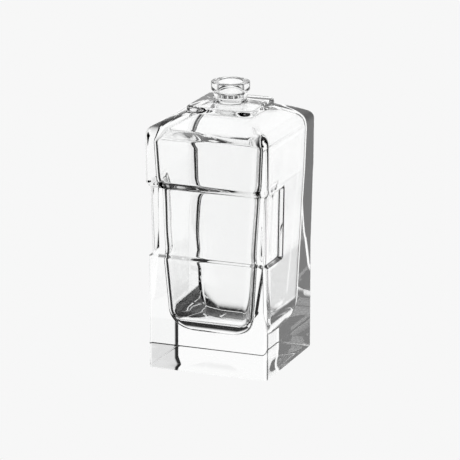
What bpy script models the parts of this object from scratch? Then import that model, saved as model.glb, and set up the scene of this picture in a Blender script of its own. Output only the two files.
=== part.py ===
"""Square aftershave bottle in thick clear glass, with an open crimp neck.

The bottle is one moulded piece of glass, so the model is one object. Its wall is a single closed
skin: a stack of level rings that starts at the middle of the underside, climbs the outside to the
lip, turns over it and goes down the bore and the cavity to the middle of the inside floor.

Frame: +Z up, origin at the middle of the face that the bottle stands on, front face towards -Y.
All lengths are metres.
"""
import math

import bmesh
import bpy

MM = 0.001

# Body: height and half width of the upright outer wall, from the base up
OUTER_WALL = (
    (0.5 * MM, 24.45 * MM),
    (44.2 * MM, 24.40 * MM),
    (74.0 * MM, 24.95 * MM),
    (92.1 * MM, 25.05 * MM),
)
BASE_EDGE = 0.5 * MM              # rounding of the bottom edge
LOWER_CORNER = 1.6 * MM           # vertical edge radius of the lower block
UPPER_CORNER = 1.1 * MM           # vertical edge radius of the upper block

# Belt: a band sunk into the front and into the front part of both sides
BELT_BOTTOM = 44.2 * MM
BELT_TOP = 74.0 * MM
BELT_DEPTH = 1.2 * MM
LOWER_STEP = 1.2 * MM             # height of the slope out of the lower block
UPPER_STEP = 2.8 * MM             # height of the round ledge under the upper block
WRAP_FULL = -10.0 * MM            # the belt has its full depth in front of this Y
WRAP_END = -7.8 * MM              # and has run out behind this one

# Shoulder and collar plate
SHOULDER_ROLL = 3.8 * MM          # rounding between the wall and the shoulder
SHOULDER_TURN = 61.0              # degrees that the rounding turns through
SHOULDER_FOOT = 18.0 * MM         # half width where the shoulder starts to level out
SHOULDER_FOOT_HEIGHT = 98.0 * MM
COLLAR_HALF = 13.6 * MM
COLLAR_CORNER = 3.4 * MM
COLLAR_BOTTOM = 99.4 * MM
COLLAR_TOP = 101.9 * MM
COLLAR_EDGE = 0.9 * MM

# Crimp neck for a 15 mm fitting
NECK_RADIUS = 6.25 * MM
NECK_FILLET = 1.2 * MM            # hollow rounding between the collar and the neck
RING_RADIUS = 6.5 * MM             # low band round the neck under the lip
RING_BOTTOM = 104.1 * MM
RING_TOP = 105.8 * MM
LIP_RADIUS = 7.45 * MM
LIP_BOTTOM = 106.5 * MM
LIP_TOP = 109.9 * MM
LIP_EDGE = 0.4 * MM
BORE_RADIUS = 4.65 * MM
BORE_EDGE = 0.7 * MM
BORE_BOTTOM = 101.3 * MM

# Underside: a flat bearing face around a shallow hollow
PUNT_HALF = 19.0 * MM
PUNT_CORNER = 5.0 * MM
PUNT_DEPTH = 1.5 * MM

# Cavity: height and half width of the upright inner wall, from the top down
INNER_WALL = (
    (89.0 * MM, 22.1 * MM),
    (74.0 * MM, 21.3 * MM),
    (60.0 * MM, 20.2 * MM),
    (44.2 * MM, 19.2 * MM),
    (24.0 * MM, 17.6 * MM),
)
INNER_CORNER = 4.0 * MM           # vertical edge radius of the cavity
INNER_DELAY = 2.4 * MM            # the inner wall follows the belt's ledges more softly
INNER_SHARE = 0.6                 # share of the belt's depth that shows inside
CAVITY_SHIFT = (-0.4 * MM, -1.4 * MM)   # the cavity sits a little off the middle
SHELF_DEPTH = 3.4 * MM            # the front wall is thicker behind the belt's upper end
SHELF_HEIGHT = 3.6 * MM
SHELF_TOP = BELT_TOP + 0.1 * MM
SHELF_REACH = 20.0 * MM           # height over which it thins out again, downwards
SHELF_RIGHT = 0.3                 # share of its depth at the right-hand end
INNER_ROLL = 5.0 * MM             # rounding under the shoulder
INNER_FOOT = 8.0 * MM             # half width where the cavity turns into the bore
INNER_FOOT_HEIGHT = 100.2 * MM
FLOOR_HEIGHT = 13.8 * MM
FLOOR_HALF = 7.5 * MM             # half width of the level part of the floor

# Fineness of the rings
CORNER_STEPS = 8                  # faces round each corner of a ring
ARC_STEPS = 4                     # rings round each edge of the profile
LEDGE_STEPS = 5                   # rings over each ledge of the belt

GLASS_COLOUR = (0.95, 0.96, 0.96, 1.0)
GLASS_ROUGHNESS = 0.02
GLASS_IOR = 1.52


def lerp(start, end, part):
    return start + (end - start) * part


def ease(part):
    """Go from 0 to 1 and leave both ends level."""
    part = min(max(part, 0.0), 1.0)
    return part * part * (3.0 - 2.0 * part)


def half_width(wall, height):
    """Half width of an upright wall at a height, straight between its listed points."""
    points = sorted(wall)
    if height <= points[0][0]:
        return points[0][1]
    for (low, low_half), (high, high_half) in zip(points, points[1:]):
        if height <= high:
            return lerp(low_half, high_half, (height - low) / (high - low))
    return points[-1][1]


def belt_depth(height, delay=0.0):
    """How far the front is sunk at a height."""
    out_of_lower = ease((height - BELT_BOTTOM + delay) / (LOWER_STEP + 2.0 * delay))
    out_of_upper = ease((BELT_TOP - height + delay) / (UPPER_STEP + 2.0 * delay))
    return BELT_DEPTH * min(out_of_lower, out_of_upper)


def belt_heights(delay=0.0):
    """Heights of the rings that shape both ledges, from the bottom up."""
    lower_start = BELT_BOTTOM - delay
    lower_end = BELT_BOTTOM + LOWER_STEP + delay
    upper_start = BELT_TOP - UPPER_STEP - delay
    upper_end = BELT_TOP + delay
    parts = [step / LEDGE_STEPS for step in range(LEDGE_STEPS + 1)]
    return [lerp(lower_start, lower_end, part) for part in parts] + [
        lerp(upper_start, upper_end, part) for part in parts
    ]


def belt_wrap(y):
    """1 where the belt has its full depth, 0 behind its end."""
    return ease((WRAP_END - y) / (WRAP_END - WRAP_FULL))


def arc(centre_half, centre_height, radius, first, last, corner=None):
    """Rings round an edge of the profile, from the first to the last angle in degrees."""
    rings = []
    for step in range(ARC_STEPS + 1):
        angle = math.radians(lerp(first, last, step / ARC_STEPS))
        half = centre_half + radius * math.cos(angle)
        height = centre_height + radius * math.sin(angle)
        rings.append((half, height, half if corner is None else corner, 0.0))
    return rings


def ring_points(half, corner, sunk):
    """The points of one ring, anticlockwise: a square with round corners.

    A corner radius equal to the half width makes a circle. The front, and the front part of both
    sides, move inwards by the sunk depth.
    """
    flat = half - corner
    middle_of_wrap = (WRAP_FULL + WRAP_END) / 2.0
    stations = (WRAP_FULL, middle_of_wrap, WRAP_END, 0.0, -WRAP_END, -middle_of_wrap, -WRAP_FULL)
    quarter = []
    for step in range(CORNER_STEPS + 1):
        angle = math.radians(90.0 * step / CORNER_STEPS)
        quarter.append((flat + corner * math.cos(angle), flat + corner * math.sin(angle)))
    for station in stations:
        quarter.append((-min(max(station, -flat), flat), half))
    points = []
    for turn in range(4):
        points += quarter
        quarter = [(-y, x) for x, y in quarter]
    return [sink(x, y, flat, sunk) for x, y in points]


def sink(x, y, flat, sunk):
    """Move one ring point inwards where the belt covers it."""
    tolerance = 1e-9
    if abs(x) > flat - tolerance:
        x -= math.copysign(sunk * belt_wrap(y), x)
    if y < tolerance - flat:
        y += sunk
    return x, y


def underside_rings():
    """The shallow hollow and the flat bearing face around it."""
    rings = []
    for part in (0.25, 0.5, 0.75, 0.9, 1.0):
        height = PUNT_DEPTH * (1.0 - part * part)
        rings.append((PUNT_HALF * part, height, PUNT_CORNER * part, 0.0))
    return rings


def outer_wall_rings():
    """The bottom edge, the upright wall with its belt, and the rounding into the shoulder."""
    base_half = OUTER_WALL[0][1]
    rings = arc(base_half - BASE_EDGE, BASE_EDGE, BASE_EDGE, -90.0, 0.0, LOWER_CORNER)
    for height in belt_heights():
        corner = lerp(LOWER_CORNER, UPPER_CORNER, (height - BELT_BOTTOM) / (BELT_TOP - BELT_BOTTOM))
        rings.append((half_width(OUTER_WALL, height), height, corner, belt_depth(height)))
    top_height, top_half = OUTER_WALL[-1]
    rings += arc(top_half - SHOULDER_ROLL, top_height, SHOULDER_ROLL, 0.0, SHOULDER_TURN, UPPER_CORNER)
    return rings


def collar_rings():
    """The foot of the shoulder and the square plate that carries the neck."""
    rings = [
        (SHOULDER_FOOT, SHOULDER_FOOT_HEIGHT, UPPER_CORNER, 0.0),
        (COLLAR_HALF + COLLAR_EDGE, COLLAR_BOTTOM, COLLAR_CORNER, 0.0),
        (COLLAR_HALF, COLLAR_BOTTOM + COLLAR_EDGE, COLLAR_CORNER, 0.0),
    ]
    edge_half = COLLAR_HALF - COLLAR_EDGE
    edge_height = COLLAR_TOP - COLLAR_EDGE
    return rings + arc(edge_half, edge_height, COLLAR_EDGE, 0.0, 90.0, COLLAR_CORNER)


def neck_rings():
    """The neck, the rolled lip and the bore, all round."""
    fillet_radius = NECK_RADIUS + NECK_FILLET
    rings = arc(fillet_radius, COLLAR_TOP + NECK_FILLET, NECK_FILLET, -90.0, -180.0)
    for half, height in (
        (NECK_RADIUS, RING_BOTTOM - 0.4 * MM),
        (RING_RADIUS, RING_BOTTOM),
        (RING_RADIUS, RING_TOP),
        (NECK_RADIUS, RING_TOP + 0.2 * MM),
        (NECK_RADIUS, LIP_BOTTOM - 0.4 * MM),
    ):
        rings.append((half, height, half, 0.0))
    lip_core = LIP_RADIUS - LIP_EDGE
    rings += arc(lip_core, LIP_BOTTOM + LIP_EDGE, LIP_EDGE, -60.0, 0.0)
    rings += arc(lip_core, LIP_TOP - LIP_EDGE, LIP_EDGE, 0.0, 90.0)
    rings += arc(BORE_RADIUS + BORE_EDGE, LIP_TOP - BORE_EDGE, BORE_EDGE, 90.0, 180.0)
    rings += [(BORE_RADIUS, BORE_BOTTOM, BORE_RADIUS, 0.0)]
    return rings


def cavity_rings():
    """The inside, from the bore down to the floor."""
    rings = [(INNER_FOOT, INNER_FOOT_HEIGHT, INNER_FOOT, 0.0)]
    top_height, top_half = INNER_WALL[0]
    rings += arc(top_half - INNER_ROLL, top_height, INNER_ROLL, SHOULDER_TURN, 0.0, INNER_CORNER)
    heights = [height for height in belt_heights(INNER_DELAY) if height < SHELF_TOP - SHELF_HEIGHT - 1.0 * MM]
    shelf_parts = [step / LEDGE_STEPS for step in range(LEDGE_STEPS + 1)]
    heights += [SHELF_TOP - SHELF_HEIGHT * (1.0 - part) for part in shelf_parts]
    heights += [SHELF_TOP - SHELF_HEIGHT - SHELF_REACH * 0.5, SHELF_TOP + INNER_DELAY]
    for height in sorted(heights, reverse=True):
        sunk = INNER_SHARE * belt_depth(height, INNER_DELAY)
        rings.append((half_width(INNER_WALL, height), height, INNER_CORNER, sunk))
    wall_foot, foot_half = INNER_WALL[-1]
    for step in range(ARC_STEPS + 1):
        angle = math.radians(90.0 * step / ARC_STEPS)
        half = FLOOR_HALF + (foot_half - FLOOR_HALF) * math.cos(angle)
        height = wall_foot + (FLOOR_HEIGHT - wall_foot) * math.sin(angle)
        rings.append((half, height, INNER_CORNER, 0.0))
    return rings


def front_shelf(height):
    """How much thicker the front wall is at a height, at its left-hand end."""
    start = ease((SHELF_TOP - height) / SHELF_HEIGHT)
    end = ease((SHELF_TOP - SHELF_HEIGHT - height) / SHELF_REACH)
    return SHELF_DEPTH * (start - end)


def cavity_point(x, y, half, flat, height):
    """Move a point of the cavity to where the glass really ran."""
    share = ease((INNER_FOOT_HEIGHT - height) / (INNER_FOOT_HEIGHT - INNER_WALL[0][0]))
    if y < 0.0 and flat > 0.0:
        across = lerp(1.0, SHELF_RIGHT, 0.5 + 0.5 * x / half)
        y += front_shelf(height) * across * min(-y / flat, 1.0)
    return x + share * CAVITY_SHIFT[0], y + share * CAVITY_SHIFT[1]


def add_ring(mesh, half, height, corner, sunk, inside=False):
    points = ring_points(half, corner, sunk)
    if inside:
        points = [cavity_point(x, y, half, half - corner, height) for x, y in points]
    return [mesh.verts.new((x, y, height)) for x, y in points]


def add_fan(mesh, ring, height):
    """Close a ring with triangles to one point in its middle."""
    middle = mesh.verts.new((0.0, 0.0, height))
    for start, end in zip(ring, ring[1:] + ring[:1]):
        mesh.faces.new((start, end, middle))


def add_band(mesh, lower, upper):
    """Join two rings that have the same number of points."""
    for index in range(len(lower)):
        after = (index + 1) % len(lower)
        mesh.faces.new((lower[index], lower[after], upper[after], upper[index]))


def make_bottle():
    """One closed skin through all the rings, with its faces pointing out of the glass."""
    outside = underside_rings() + outer_wall_rings() + collar_rings() + neck_rings()
    mesh = bmesh.new()
    rings = [add_ring(mesh, *ring) for ring in outside]
    rings += [add_ring(mesh, *ring, inside=True) for ring in cavity_rings()]
    for lower, upper in zip(rings, rings[1:]):
        add_band(mesh, lower, upper)
    add_fan(mesh, rings[0], PUNT_DEPTH)
    add_fan(mesh, rings[-1], FLOOR_HEIGHT)
    bmesh.ops.remove_doubles(mesh, verts=mesh.verts, dist=0.001 * MM)
    bmesh.ops.recalc_face_normals(mesh, faces=mesh.faces)
    data = bpy.data.meshes.new("glass_bottle")
    mesh.to_mesh(data)
    mesh.free()
    data.shade_smooth()
    data.set_sharp_from_angle(angle=math.radians(35.0))
    bottle = bpy.data.objects.new("glass_bottle", data)
    bpy.context.scene.collection.objects.link(bottle)
    return bottle


def make_glass():
    glass = bpy.data.materials.new("clear_glass")
    glass.use_nodes = True
    shader = glass.node_tree.nodes["Principled BSDF"]
    shader.inputs["Base Color"].default_value = GLASS_COLOUR
    shader.inputs["Roughness"].default_value = GLASS_ROUGHNESS
    shader.inputs["Metallic"].default_value = 0.0
    shader.inputs["IOR"].default_value = GLASS_IOR
    shader.inputs["Transmission Weight"].default_value = 1.0
    return glass


for old in list(bpy.data.objects):
    bpy.data.objects.remove(old)

make_bottle().data.materials.append(make_glass())
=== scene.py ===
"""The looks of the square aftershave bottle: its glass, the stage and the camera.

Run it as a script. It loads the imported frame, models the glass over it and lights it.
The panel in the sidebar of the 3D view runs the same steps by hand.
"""
import math
from dataclasses import dataclass

import bmesh
import bpy
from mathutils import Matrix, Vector, noise


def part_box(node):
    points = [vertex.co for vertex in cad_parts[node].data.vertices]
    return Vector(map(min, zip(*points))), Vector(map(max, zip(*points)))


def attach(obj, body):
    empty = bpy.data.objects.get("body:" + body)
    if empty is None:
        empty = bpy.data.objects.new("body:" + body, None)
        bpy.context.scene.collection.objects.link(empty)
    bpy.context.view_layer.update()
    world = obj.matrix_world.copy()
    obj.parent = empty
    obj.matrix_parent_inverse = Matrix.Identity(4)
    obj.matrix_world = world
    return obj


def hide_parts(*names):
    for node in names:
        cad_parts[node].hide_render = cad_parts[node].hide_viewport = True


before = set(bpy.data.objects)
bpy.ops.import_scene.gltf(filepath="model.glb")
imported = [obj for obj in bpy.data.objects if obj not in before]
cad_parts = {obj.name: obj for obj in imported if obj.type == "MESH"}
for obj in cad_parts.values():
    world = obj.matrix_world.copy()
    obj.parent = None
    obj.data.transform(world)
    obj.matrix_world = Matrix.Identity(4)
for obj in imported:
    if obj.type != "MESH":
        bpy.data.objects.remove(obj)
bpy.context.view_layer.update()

bl_info = {
    "name": "Square Aftershave Bottle",
    "version": (1, 0, 0),
    "blender": (4, 5, 0),
    "location": "3D View > Sidebar > Bottle",
    "description": "Models and lights a square aftershave bottle in thick clear glass",
    "category": "Object",
}

MM = 0.001
EIGHTH_TURN = math.radians(45.0)
QUARTER_TURN = math.radians(90.0)

NODE = "glass_bottle"
FULL_HALF, _, FULL_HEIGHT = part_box(NODE)[1]

# How fine the skin is, and how its rings are spread
CORNER_FACES = 10                 # faces round each vertical edge
SIDE_FACES = 26                   # faces along each side of a ring
WRAP_PARTS = [0.30 + 0.03 * step for step in range(8)]    # extra points on a side, at the belt's end
EDGE_FACES = 8                    # faces round each edge of the profile
SHOULDER_FACES = 14
SLOPE_FACES = 14
PLATE_FACES = 8
PLATE_PARTS = (0.35, 0.6, 1.0)    # rings up the side of the plate, as parts of its height
BORE_FACES = 8
ROOF_FACES = 24
INNER_ROLL_FACES = 16
FOOT_FACES = 23
CORNER_SHARE = math.radians(12.0)         # half of the turn that a vertical edge takes on a circle
ROUND_CORNER = 0.3                # a round ring's corner radius, as a share of its own radius
FLOOR_CORNER = 0.5                # and the most that a ring of the inside floor has
EDGE_GAP = 0.3 * MM               # height left free between a rounded edge and the next ring
LEDGE_GAP = 0.2 * MM              # the same at a ledge and on the bearing face
LOW_LEDGE_BAND = 2.0 * MM         # the rings are finer up to here over the lower ledge
HIGH_LEDGE_BAND = 3.0 * MM        # and from here under the upper one
INNER_LOW_BAND = (3.5 * MM, 4.5 * MM)     # inside, below and above the lower ledge
INNER_HIGH_BAND = (6.0 * MM, 4.0 * MM)    # and below and above the upper one

# Underside
PUNT_HALF = 19.0 * MM             # the shallow hollow
PUNT_CORNER = 5.0 * MM
PUNT_DEPTH = 1.5 * MM
PUNT_PARTS = (0.15, 0.3, 0.45, 0.6, 0.75, 0.85, 0.92, 0.97, 1.0)   # its rings, closer at the rim
BEARING_FACES = 5
BASE_EDGE = 0.5 * MM

# Blocks and belt
LOWER_CORNER = 1.6 * MM
BELT_CORNER = 1.5 * MM
UPPER_CORNER = 1.1 * MM
UPPER_LEAN = 0.1 * MM             # how much the upper block widens on its way up
UPPER_LEDGE_RADIUS = 2.5 * MM
LOWER_LEDGE_RADIUS = 0.7 * MM
LOWER_LEDGE_TURN = math.radians(50.0)
LEDGE_FILLET = 0.35 * MM
WRAP_FULL = -10.0 * MM            # the belt has its full depth in front of this Y
WRAP_END = -7.8 * MM              # and has run out behind this one

# Shoulder and the square plate under the neck
SHOULDER_ROLL = 3.8 * MM
SHOULDER_TURN = math.radians(61.0)
COLLAR_HALF = 13.6 * MM
COLLAR_CORNER = 3.4 * MM
COLLAR_BOTTOM = 99.4 * MM
COLLAR_TOP = 101.9 * MM
COLLAR_EDGE = 0.9 * MM
COLLAR_FOOT = 0.3 * MM            # how far the slope's end stands out past the plate
COLLAR_DRAFT = 0.06 * MM          # how much the plate's side leans out downwards
COLLAR_SEAM = 0.05 * MM           # height at which that side starts over the slope's end

# Neck and lip
NECK_RADIUS = 6.25 * MM
NECK_FILLET = 1.2 * MM
NECK_ROOM = 0.4 * MM              # round stretch of the plate outside the fillet
RING_RADIUS = 6.5 * MM
RING_EASE = 0.05 * MM             # how much the neck's band is rounded at its edges
NECK_EASE = 0.03 * MM             # and how much wider the neck is just beside it
LIP_RADIUS = 7.45 * MM
LIP_BOTTOM = 106.5 * MM
LIP_EDGE = 0.4 * MM
LIP_START = math.radians(-60.0)   # where the rounding under the lip begins
BORE_RADIUS = 4.65 * MM
BORE_EDGE = 0.7 * MM
BORE_BOTTOM = 101.3 * MM
NECK_PROFILE = (                  # radius and height of the neck's rings, upwards
    (NECK_RADIUS, 103.2 * MM),
    (NECK_RADIUS, 103.6 * MM),
    (NECK_RADIUS + NECK_EASE, 103.8 * MM),
    (RING_RADIUS - RING_EASE, 104.1 * MM),
    (RING_RADIUS, 104.4 * MM),
    (RING_RADIUS, 105.5 * MM),
    (RING_RADIUS - RING_EASE, 105.8 * MM),
    (NECK_RADIUS + NECK_EASE, 106.0 * MM),
    (NECK_RADIUS + NECK_EASE, 106.15 * MM),
    (RING_RADIUS - RING_EASE, 106.3 * MM),
)

# Cavity
INNER_WALL = (                    # height and half width, upwards
    (24.0 * MM, 17.6 * MM),
    (44.2 * MM, 19.2 * MM),
    (60.0 * MM, 20.2 * MM),
    (74.0 * MM, 21.3 * MM),
    (89.0 * MM, 22.1 * MM),
)
INNER_CORNER = 4.0 * MM
INNER_ROLL = 5.0 * MM
ROOF_SLOPE = -0.2                 # slope at which the roof leaves the bore
FLOOR_HALF = 7.5 * MM
FLOOR_PARTS = (0.8, 0.6, 0.4, 0.2)        # rings on the flat of the inside floor
CAVITY_DRIFT = Vector((-0.4 * MM, -1.4 * MM, 0.0))        # the cavity sits a little off the middle
DRIFT_START = 100.2 * MM          # that begins here and is whole at the top of the inner wall
INNER_SHARE = 0.6                 # share of the belt's depth that shows inside
INNER_DELAY = 2.4 * MM            # how far its two ends spread past the outer ledges
INNER_LOW_LEDGE = 1.2 * MM        # height of each ledge inside, without that spread
INNER_HIGH_LEDGE = 2.8 * MM
SHELF_DEPTH = 3.4 * MM            # the front wall is thicker behind the belt's upper end
SHELF_HEIGHT = 3.6 * MM           # height in which it comes in
SHELF_REACH = 20.0 * MM           # height in which it runs out again
SHELF_RISE = 0.1 * MM             # height of its upper end over the belt's
SHELF_RIGHT = 0.30                # share of its depth that is left at the right-hand end
WAVE_SCALE = 90.0                 # waves a little over a centimetre apart
WAVE_FROM = 0.5                   # share of a side's flat half width past which they show

# Stage
FLOOR_REACH = 8.0
FLOOR_GAP = 0.3 * MM              # keeps the floor off the face that the bottle stands on
AIM_LEFT = 0.22 * MM              # the camera looks this far to the left of the neck's axis
STUDIO_DARK = 0.03                # glow of the studio past its soft panels
# Soft panels: the turn and rise of each, the reach of its even part and of its edge, all in
# degrees, and its glow
PANELS = (
    (113.0, -8.0, 40.0, 72.0, 1.06),
    (-50.0, -36.0, 24.0, 42.0, 0.95),
    (135.0, 50.0, 20.0, 60.0, 0.85),
)


# --------------------------------------------------------------------------- settings
class BottleShape(bpy.types.PropertyGroup):
    """Sizes of the bottle, in metres."""

    base_half: bpy.props.FloatProperty(
        name="Base Half Width", description="Half width of the lower block",
        default=24.4 * MM, unit="LENGTH")
    belt_depth: bpy.props.FloatProperty(
        name="Belt Depth", description="How far the belt is sunk into the front and the sides",
        default=1.2 * MM, unit="LENGTH")
    belt_bottom: bpy.props.FloatProperty(
        name="Belt Bottom", description="Height of the lower block",
        default=44.2 * MM, unit="LENGTH")
    belt_top: bpy.props.FloatProperty(
        name="Belt Top", description="Height where the upper block's ledge starts",
        default=74.0 * MM, unit="LENGTH")
    wall_top: bpy.props.FloatProperty(
        name="Wall Top", description="Height where the shoulder starts",
        default=92.1 * MM, unit="LENGTH")
    floor_height: bpy.props.FloatProperty(
        name="Base Thickness", description="Height of the inside floor over the underside",
        default=13.8 * MM, unit="LENGTH")
    waviness: bpy.props.FloatProperty(
        name="Waviness", description="Depth of the gentle waves that blowing leaves inside",
        default=0.02 * MM, unit="LENGTH")


class BottleGlass(bpy.types.PropertyGroup):
    """Finish of the glass."""

    tint: bpy.props.FloatVectorProperty(
        name="Tint", description="Colour of the glass", subtype="COLOR", size=4,
        min=0.0, max=1.0, default=(0.995, 0.998, 0.997, 1.0))
    index: bpy.props.FloatProperty(
        name="Refractive Index", description="Bending power of the glass", default=1.52, min=1.0)


class BottleStage(bpy.types.PropertyGroup):
    """Floor, light and camera."""

    backdrop: bpy.props.FloatVectorProperty(
        name="Backdrop", description="Colour of the floor and the backdrop", subtype="COLOR",
        size=4, min=0.0, max=1.0, default=(0.93, 0.93, 0.93, 1.0))
    camera_turn: bpy.props.FloatProperty(
        name="Camera Turn", description="Turn of the camera to the right of the front face",
        default=math.radians(21.65), subtype="ANGLE")
    camera_reach: bpy.props.FloatProperty(
        name="Camera Distance", description="Level distance of the camera from the neck's axis",
        default=1.2, unit="LENGTH")
    camera_height: bpy.props.FloatProperty(
        name="Camera Height", description="Height of the camera over the floor",
        default=0.3889, unit="LENGTH")
    aim_height: bpy.props.FloatProperty(
        name="Aim Height", description="Height of the point that the camera looks at",
        default=0.0510, unit="LENGTH")
    lens: bpy.props.FloatProperty(
        name="Lens", description="Focal length in millimetres", default=253.5)


# --------------------------------------------------------------------------- small helpers
def lerp(start, end, part):
    """Go a part of the way from start to end."""
    return start + (end - start) * part


def limit(value, low=0.0, high=1.0):
    """Keep a value between two others."""
    return min(max(value, low), high)


def ease(part):
    """Go from 0 to 1 and leave both ends level."""
    part = limit(part)
    return part * part * (3.0 - 2.0 * part)


def soft_min(first, second, blend):
    """The smaller of two values, with a rounded change from one to the other."""
    gap = max(blend - abs(first - second), 0.0)
    return min(first, second) - gap * gap / (4.0 * blend)


def along(points, place):
    """Read a value off a list of (place, value) pairs, straight between them."""
    if place <= points[0][0]:
        return points[0][1]
    for (low, low_value), (high, high_value) in zip(points, points[1:]):
        if place <= high:
            return lerp(low_value, high_value, (place - low) / (high - low))
    return points[-1][1]


def spaced(start, end, count, ends_close=True):
    """Places from start to end, even or closer together near both ends."""
    parts = [step / count for step in range(count + 1)]
    if ends_close:
        parts = [0.5 - 0.5 * math.cos(math.pi * part) for part in parts]
    return [lerp(start, end, part) for part in parts]


def through_bands(start, bands):
    """Heights from start through bands of (far end, faces, closer together near both ends)."""
    heights = [start]
    for end, faces, ends_close in bands:
        heights += spaced(heights[-1], end, faces, ends_close)[1:]
    return heights


def link(name, data):
    """Put a new object with this data into the scene."""
    made = bpy.data.objects.new(name, data)
    bpy.context.scene.collection.objects.link(made)
    return made


def new_material(name):
    """A material of the given name, and its node tree."""
    material = bpy.data.materials.new(name)
    material.use_nodes = True
    return material, material.node_tree


# --------------------------------------------------------------------------- rings of the skin
@dataclass
class Station:
    """One level ring of the skin."""

    half: float                   # half its width
    height: float
    corner: float                 # radius of its corners
    sunk: float = 0.0             # how far the belt is sunk into it
    roundness: float = 0.0        # 0 for a square, 1 for a circle
    shelf: float = 0.0            # how far its front wall comes in
    drift: float = 0.0            # share of the cavity's way off the middle
    wave: float = 0.0             # depth of its waves


def round_station(radius, height):
    """A circle."""
    return Station(radius, height, ROUND_CORNER * radius, roundness=1.0)


def arc(centre_half, centre_height, radius, first, last, corner=None, faces=EDGE_FACES):
    """Stations round an edge of the profile; with no corner radius they are circles."""
    stations = []
    for angle in spaced(first, last, faces, ends_close=False):
        half = centre_half + radius * math.cos(angle)
        height = centre_height + radius * math.sin(angle)
        if corner is None:
            stations.append(round_station(half, height))
        else:
            stations.append(Station(half, height, corner))
    return stations


def ring_places():
    """Where the points of a ring sit: (quarter turn, on a corner, part along it)."""
    places = []
    for quarter in range(4):
        places += [(quarter, True, step / CORNER_FACES) for step in range(CORNER_FACES + 1)]
        parts = set(spaced(-1.0, 1.0, SIDE_FACES)[1:-1])
        if quarter == 1:
            parts.update(WRAP_PARTS)
        if quarter == 3:
            parts.update(-part for part in WRAP_PARTS)
        places += [(quarter, False, part) for part in sorted(parts)]
    return places


def ring_point(place, station):
    """The point of a ring at a place: a square with round corners, or a circle."""
    quarter, on_corner, part = place
    flat = station.half - station.corner
    if on_corner:
        angle = QUARTER_TURN * part
        x = flat + station.corner * math.cos(angle)
        y = flat + station.corner * math.sin(angle)
        turn = EIGHTH_TURN + (2.0 * part - 1.0) * CORNER_SHARE
    else:
        x = -part * flat
        y = station.half
        turn = QUARTER_TURN + part * (EIGHTH_TURN - CORNER_SHARE)
    x = lerp(x, station.half * math.cos(turn), station.roundness)
    y = lerp(y, station.half * math.sin(turn), station.roundness)
    for _ in range(quarter):
        x, y = -y, x
    if station.sunk:
        wrap = ease((WRAP_END - y) / (WRAP_END - WRAP_FULL))
        x -= math.copysign(station.sunk * wrap * min(abs(x) / flat, 1.0), x)
        y += station.sunk * limit((WRAP_FULL - y) / (WRAP_FULL + flat))
    if station.shelf and y < 0.0:
        share = lerp(1.0, SHELF_RIGHT, 0.5 + 0.5 * x / station.half)
        y += station.shelf * share * min(-y / flat, 1.0)
    point = Vector((x, y, station.height)) + station.drift * CAVITY_DRIFT
    if station.wave:
        sway = noise.noise(point * WAVE_SCALE) * station.wave
        point.x += math.copysign(sway, x) if abs(x) > WAVE_FROM * flat else 0.0
        point.y += math.copysign(sway, y) if abs(y) > WAVE_FROM * flat else 0.0
    return point


# --------------------------------------------------------------------------- outside
def outer_half(shape, height):
    """Half width of the outer wall, which leans out above the lower block."""
    wall = (
        (shape.belt_bottom, shape.base_half),
        (shape.belt_top, FULL_HALF - UPPER_LEAN),
        (shape.wall_top, FULL_HALF),
    )
    return along(wall, height)


def belt_sunk(shape, height):
    """Depth of the belt outside: a round ledge above it, a short slope below."""
    drop = limit(shape.belt_top - height, 0.0, UPPER_LEDGE_RADIUS)
    rise = max(height - shape.belt_bottom, 0.0)
    if drop <= 0.0 or rise <= 0.0:
        return 0.0
    upper = UPPER_LEDGE_RADIUS - math.sqrt(UPPER_LEDGE_RADIUS ** 2 - drop ** 2)
    arc_rise = LOWER_LEDGE_RADIUS * math.sin(LOWER_LEDGE_TURN)
    lower = LOWER_LEDGE_RADIUS - math.sqrt(LOWER_LEDGE_RADIUS ** 2 - min(rise, arc_rise) ** 2)
    lower += max(rise - arc_rise, 0.0) * math.tan(LOWER_LEDGE_TURN)
    depth = min(upper, lower)
    if depth <= 0.5 * shape.belt_depth:
        return depth
    return soft_min(depth, shape.belt_depth, LEDGE_FILLET)


def underside(shape):
    """The shallow hollow and the bearing face."""
    stations = []
    for part in PUNT_PARTS:
        height = PUNT_DEPTH * (1.0 - ease(part))
        stations.append(Station(PUNT_HALF * part, height, PUNT_CORNER * part))
    outer = shape.base_half - BASE_EDGE
    corners = ((PUNT_HALF, PUNT_CORNER), (outer, LOWER_CORNER))
    for half in spaced(PUNT_HALF + LEDGE_GAP, outer - LEDGE_GAP, BEARING_FACES):
        stations.append(Station(half, 0.0, along(corners, half)))
    return stations


def outside_wall(shape):
    """The bottom edge, the two blocks and the belt between them."""
    stations = arc(shape.base_half - BASE_EDGE, BASE_EDGE, BASE_EDGE, -QUARTER_TURN, 0.0, LOWER_CORNER)
    heights = through_bands(BASE_EDGE + EDGE_GAP, (
        (shape.belt_bottom - LEDGE_GAP, 20, True),
        (shape.belt_bottom + LOW_LEDGE_BAND, 20, False),
        (shape.belt_top - HIGH_LEDGE_BAND, 16, True),
        (shape.belt_top + LEDGE_GAP, 24, False),
        (shape.wall_top - LEDGE_GAP, 14, True),
    ))
    corners = (
        (shape.belt_bottom, LOWER_CORNER),
        (shape.belt_bottom + shape.belt_depth, BELT_CORNER),
        (shape.belt_top - UPPER_LEDGE_RADIUS, BELT_CORNER),
        (shape.belt_top, UPPER_CORNER),
    )
    for height in heights:
        stations.append(Station(outer_half(shape, height), height, along(corners, height),
                                sunk=belt_sunk(shape, height)))
    return stations


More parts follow.
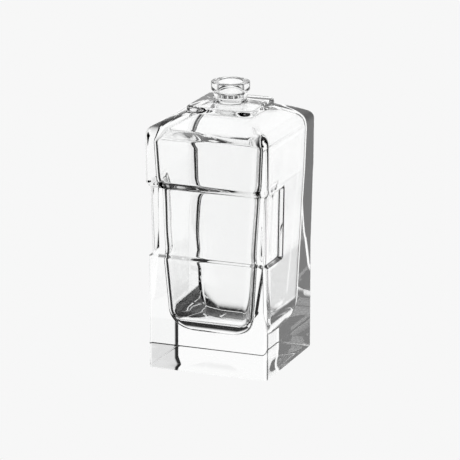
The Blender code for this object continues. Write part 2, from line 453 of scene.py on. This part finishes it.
def shoulder_and_collar(shape):
    """The rounding over the wall, the slope, and the square plate under the neck."""
    stations = arc(FULL_HALF - SHOULDER_ROLL, shape.wall_top, SHOULDER_ROLL, 0.0, SHOULDER_TURN,
                   UPPER_CORNER, SHOULDER_FACES)
    start = stations[-1]
    foot_half = COLLAR_HALF + COLLAR_FOOT
    rise = COLLAR_BOTTOM - start.height
    straight_rise = (start.half - foot_half) * math.tan(QUARTER_TURN - SHOULDER_TURN)
    for part in spaced(0.0, 1.0, SLOPE_FACES)[1:]:
        half = lerp(start.half, foot_half, part)
        height = start.height + straight_rise * part - (straight_rise - rise) * part ** 2
        stations.append(Station(half, height, lerp(UPPER_CORNER, COLLAR_CORNER, part)))
    edge_half = COLLAR_HALF - COLLAR_EDGE
    edge_height = COLLAR_TOP - COLLAR_EDGE
    for part in PLATE_PARTS:
        height = lerp(COLLAR_BOTTOM + COLLAR_SEAM, edge_height, part)
        stations.append(Station(COLLAR_HALF + COLLAR_DRAFT * (1.0 - part), height, COLLAR_CORNER))
    stations += arc(edge_half, edge_height, COLLAR_EDGE, 0.0, QUARTER_TURN, COLLAR_CORNER)[1:]
    round_half = NECK_RADIUS + NECK_FILLET + NECK_ROOM
    for part in spaced(0.0, 1.0, PLATE_FACES)[1:]:
        half = lerp(edge_half - LEDGE_GAP, round_half, part)
        stations.append(Station(half, COLLAR_TOP, COLLAR_CORNER, roundness=ease(part)))
    return stations


def neck_and_lip():
    """The crimp neck, the rolled lip and the bore."""
    stations = arc(NECK_RADIUS + NECK_FILLET, COLLAR_TOP + NECK_FILLET, NECK_FILLET,
                   -QUARTER_TURN, -2.0 * QUARTER_TURN)
    stations += [round_station(radius, height) for radius, height in NECK_PROFILE]
    core = LIP_RADIUS - LIP_EDGE
    stations += arc(core, LIP_BOTTOM + LIP_EDGE, LIP_EDGE, LIP_START, 0.0)
    stations += arc(core, FULL_HEIGHT - LIP_EDGE, LIP_EDGE, 0.0, QUARTER_TURN)
    stations += arc(BORE_RADIUS + BORE_EDGE, FULL_HEIGHT - BORE_EDGE, BORE_EDGE,
                    QUARTER_TURN, 2.0 * QUARTER_TURN)
    bore = spaced(FULL_HEIGHT - BORE_EDGE - EDGE_GAP, BORE_BOTTOM, BORE_FACES)
    stations += [round_station(BORE_RADIUS, height) for height in bore]
    return stations


# --------------------------------------------------------------------------- inside
def inner_sunk(shape, height):
    """Depth of the belt inside, where the blown glass follows it softly."""
    spread = 2.0 * INNER_DELAY
    low = ease((height - shape.belt_bottom + INNER_DELAY) / (INNER_LOW_LEDGE + spread))
    high = ease((shape.belt_top - height + INNER_DELAY) / (INNER_HIGH_LEDGE + spread))
    return INNER_SHARE * shape.belt_depth * min(low, high)


def inner_shelf(shape, height):
    """How far the front wall comes in under the upper block, and runs out again lower down."""
    top = shape.belt_top + SHELF_RISE
    start = ease((top - height) / SHELF_HEIGHT)
    end = ease((top - SHELF_HEIGHT - height) / SHELF_REACH)
    return SHELF_DEPTH * (start - end)


def roof(last):
    """The roof of the cavity: a curve from the bore's end out to the last station given."""
    stations = []
    run = last.half - BORE_RADIUS
    chord = (last.height - BORE_BOTTOM) / run
    end_slope = -math.tan(QUARTER_TURN - SHOULDER_TURN)
    for part in spaced(0.0, 1.0, ROOF_FACES)[1:-1]:
        half = lerp(BORE_RADIUS, last.half, part)
        bend = (ROOF_SLOPE - chord) * (1.0 - part) - (end_slope - chord) * part
        height = lerp(BORE_BOTTOM, last.height, part) + part * (1.0 - part) * bend * run
        corner = lerp(ROUND_CORNER * half, INNER_CORNER, part)
        stations.append(Station(half, height, corner, roundness=1.0 - ease(part)))
    return stations


def inside_floor(shape):
    """The rounding at the foot of the inner wall, and the flat of the floor."""
    stations = []
    foot_height, foot_half = INNER_WALL[0]
    for angle in spaced(0.0, QUARTER_TURN, FOOT_FACES, ends_close=False):
        half = lerp(FLOOR_HALF, foot_half, math.cos(angle))
        height = lerp(foot_height, shape.floor_height, math.sin(angle))
        stations.append(Station(half, height, min(INNER_CORNER, FLOOR_CORNER * half)))
    for part in FLOOR_PARTS:
        half = FLOOR_HALF * part
        stations.append(Station(half, shape.floor_height, FLOOR_CORNER * half))
    return stations


def inside(shape):
    """The cavity, from the bore down to the inside floor."""
    wall_top, top_half = INNER_WALL[-1]
    roll = arc(top_half - INNER_ROLL, wall_top, INNER_ROLL, SHOULDER_TURN, 0.0,
               INNER_CORNER, INNER_ROLL_FACES)
    heights = through_bands(wall_top - EDGE_GAP, (
        (shape.belt_top + INNER_HIGH_BAND[1], 8, True),
        (shape.belt_top - INNER_HIGH_BAND[0], 40, False),
        (shape.belt_bottom + INNER_LOW_BAND[1], 10, True),
        (shape.belt_bottom - INNER_LOW_BAND[0], 14, False),
        (INNER_WALL[0][0] + EDGE_GAP, 8, True),
    ))
    stations = roof(roll[0]) + roll
    for height in heights:
        stations.append(Station(along(INNER_WALL, height), height, INNER_CORNER,
                                sunk=inner_sunk(shape, height), shelf=inner_shelf(shape, height)))
    stations += inside_floor(shape)
    for station in stations:
        station.wave = shape.waviness
        station.drift = ease((DRIFT_START - station.height) / (DRIFT_START - wall_top))
    return stations


# --------------------------------------------------------------------------- skin and glass
def close_ring(mesh, ring):
    """Close an open end of the skin with a fan to the middle of its ring."""
    ends = set(ring)
    rim = [edge for edge in mesh.edges if edge.is_boundary and edge.verts[0] in ends]
    made = bmesh.ops.extrude_edge_only(mesh, edges=rim)["geom"]
    middle = [item for item in made if isinstance(item, bmesh.types.BMVert)]
    bmesh.ops.pointmerge(mesh, verts=middle, merge_co=(0.0, 0.0, ring[0].co.z))


def build_skin(shape):
    """Draw the skin ring by ring: a circle, extruded again and again and shaped each time."""
    places = ring_places()
    stations = underside(shape) + outside_wall(shape) + shoulder_and_collar(shape)
    stations += neck_and_lip() + inside(shape)
    mesh = bmesh.new()
    place_layer = mesh.verts.layers.int.new("place")
    bmesh.ops.create_circle(mesh, segments=len(places), radius=PUNT_HALF, cap_ends=False)
    for index, vert in enumerate(mesh.verts):
        vert[place_layer] = index
    edges = list(mesh.edges)
    rings = [list(mesh.verts)]
    for _ in stations[1:]:
        made = bmesh.ops.extrude_edge_only(mesh, edges=edges)["geom"]
        edges = [item for item in made if isinstance(item, bmesh.types.BMEdge)]
        rings.append([item for item in made if isinstance(item, bmesh.types.BMVert)])
    for ring, station in zip(rings, stations):
        for vert in ring:
            vert.co = ring_point(places[vert[place_layer]], station)
    for ring in (rings[0], rings[-1]):
        close_ring(mesh, ring)
    bmesh.ops.recalc_face_normals(mesh, faces=mesh.faces)
    return mesh


def glass_material(settings):
    """Clear polished glass."""
    material, tree = new_material("clear flint glass")
    shader = tree.nodes["Principled BSDF"]
    shader.inputs["Base Color"].default_value = settings.tint
    shader.inputs["Metallic"].default_value = 0.0
    shader.inputs["Roughness"].default_value = 0.0
    shader.inputs["IOR"].default_value = settings.index
    shader.inputs["Transmission Weight"].default_value = 1.0
    return material


# --------------------------------------------------------------------------- stage
def floor_material(stage):
    """A plain pale tone for the camera, and nothing at all for the light inside the glass."""
    material, tree = new_material("pale floor")
    tree.nodes.remove(tree.nodes["Principled BSDF"])
    glow = tree.nodes.new("ShaderNodeEmission")
    glow.inputs["Color"].default_value = stage.backdrop
    clear = tree.nodes.new("ShaderNodeBsdfTransparent")
    seen = tree.nodes.new("ShaderNodeLightPath")
    choice = tree.nodes.new("ShaderNodeMixShader")
    tree.links.new(seen.outputs["Is Camera Ray"], choice.inputs["Fac"])
    tree.links.new(clear.outputs["BSDF"], choice.inputs[1])
    tree.links.new(glow.outputs["Emission"], choice.inputs[2])
    tree.links.new(choice.outputs["Shader"], tree.nodes["Material Output"].inputs["Surface"])
    return material


def lay_floor(stage):
    """A wide pale sheet under the bottle; the glass itself sees the studio through it."""
    mesh = bmesh.new()
    bmesh.ops.create_grid(mesh, x_segments=1, y_segments=1, size=FLOOR_REACH)
    bmesh.ops.translate(mesh, verts=mesh.verts, vec=(0.0, 0.0, -FLOOR_GAP))
    data = bpy.data.meshes.new("floor")
    mesh.to_mesh(data)
    mesh.free()
    floor = link("floor", data)
    data.materials.append(floor_material(stage))


def heading(turn, rise):
    """The direction with a turn from +X towards +Y and a rise over the level, in degrees."""
    turn = math.radians(turn)
    rise = math.radians(rise)
    return (math.cos(rise) * math.cos(turn), math.cos(rise) * math.sin(turn), math.sin(rise))


def panel_glow(tree, direction, panel):
    """Brightness of the studio as one panel makes it: its glow, then the dark past a soft edge."""
    turn, rise, reach, edge, glow = panel
    facing = tree.nodes.new("ShaderNodeVectorMath")
    facing.operation = "DOT_PRODUCT"
    facing.inputs[1].default_value = heading(turn, rise)
    tree.links.new(direction.outputs["Generated"], facing.inputs[0])
    soft = tree.nodes.new("ShaderNodeMapRange")
    soft.interpolation_type = "SMOOTHSTEP"
    soft.inputs["From Min"].default_value = math.cos(math.radians(edge))
    soft.inputs["From Max"].default_value = math.cos(math.radians(reach))
    soft.inputs["To Min"].default_value = STUDIO_DARK
    soft.inputs["To Max"].default_value = glow
    tree.links.new(facing.outputs["Value"], soft.inputs["Value"])
    return soft.outputs["Result"]


def light_studio(scene, stage):
    """A plain pale backdrop, and round it a dark studio with soft panels that the glass bends."""
    world = bpy.data.worlds.new("studio")
    scene.world = world
    world.use_nodes = True
    tree = world.node_tree
    direction = tree.nodes.new("ShaderNodeTexCoord")
    level = panel_glow(tree, direction, PANELS[0])
    for panel in PANELS[1:]:
        brighter = tree.nodes.new("ShaderNodeMath")
        brighter.operation = "MAXIMUM"
        tree.links.new(level, brighter.inputs[0])
        tree.links.new(panel_glow(tree, direction, panel), brighter.inputs[1])
        level = brighter.outputs["Value"]
    seen = tree.nodes.new("ShaderNodeLightPath")
    choice = tree.nodes.new("ShaderNodeMix")
    choice.data_type = "RGBA"
    tree.links.new(seen.outputs["Is Camera Ray"], choice.inputs["Factor"])
    tree.links.new(level, choice.inputs["A"])
    choice.inputs["B"].default_value = stage.backdrop
    tree.links.new(choice.outputs["Result"], tree.nodes["Background"].inputs["Color"])


def place_camera(scene, stage):
    """The camera, to the right of the front face and above, looking at the middle of the bottle."""
    data = bpy.data.cameras.new("camera")
    data.lens = stage.lens
    data.clip_start = 0.01
    data.clip_end = 100.0
    camera = link("camera", data)
    camera.location = (
        math.sin(stage.camera_turn) * stage.camera_reach,
        -math.cos(stage.camera_turn) * stage.camera_reach,
        stage.camera_height,
    )
    side = Vector((math.cos(stage.camera_turn), math.sin(stage.camera_turn), 0.0))
    aim = Vector((0.0, 0.0, stage.aim_height)) - side * AIM_LEFT
    camera.rotation_mode = "QUATERNION"
    camera.rotation_quaternion = (aim - camera.location).to_track_quat("-Z", "Y")
    scene.camera = camera


# --------------------------------------------------------------------------- operators
class BOTTLE_OT_glass(bpy.types.Operator):
    """Model the glass bottle over its frame node"""

    bl_idname = "bottle.glass"
    bl_label = "Glass Bottle"

    def execute(self, context):
        mesh = build_skin(context.scene.bottle_shape)
        data = bpy.data.meshes.new("bottle_glass")
        mesh.to_mesh(data)
        mesh.free()
        data.shade_smooth()
        bottle = link("bottle_glass", data)
        data.materials.append(glass_material(context.scene.bottle_glass))
        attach(bottle, "root")
        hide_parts(NODE)
        return {"FINISHED"}


class BOTTLE_OT_stage(bpy.types.Operator):
    """Lay the floor, set the studio light and place the camera"""

    bl_idname = "bottle.stage"
    bl_label = "Stage"

    def execute(self, context):
        stage = context.scene.bottle_stage
        lay_floor(stage)
        light_studio(context.scene, stage)
        place_camera(context.scene, stage)
        context.scene.view_settings.view_transform = "Standard"
        return {"FINISHED"}


STEPS = (BOTTLE_OT_glass, BOTTLE_OT_stage)


class BOTTLE_PT_panel(bpy.types.Panel):
    """Steps and sizes of the bottle"""

    bl_idname = "BOTTLE_PT_panel"
    bl_label = "Aftershave Bottle"
    bl_space_type = "VIEW_3D"
    bl_region_type = "UI"
    bl_category = "Bottle"

    def draw(self, context):
        layout = self.layout
        scene = context.scene
        for settings in (scene.bottle_shape, scene.bottle_glass, scene.bottle_stage):
            for name in settings.bl_rna.properties.keys():
                if name not in {"rna_type", "name"}:
                    layout.prop(settings, name)
        for operator in STEPS:
            layout.operator(operator.bl_idname)


CLASSES = (BottleShape, BottleGlass, BottleStage, *STEPS, BOTTLE_PT_panel)


def register():
    for made in CLASSES:
        bpy.utils.register_class(made)
    bpy.types.Scene.bottle_shape = bpy.props.PointerProperty(type=BottleShape)
    bpy.types.Scene.bottle_glass = bpy.props.PointerProperty(type=BottleGlass)
    bpy.types.Scene.bottle_stage = bpy.props.PointerProperty(type=BottleStage)


def unregister():
    del bpy.types.Scene.bottle_stage
    del bpy.types.Scene.bottle_glass
    del bpy.types.Scene.bottle_shape
    for made in reversed(CLASSES):
        bpy.utils.unregister_class(made)


def main():
    register()
    bpy.ops.bottle.glass()
    bpy.ops.bottle.stage()


if __name__ == "__main__":
    main()
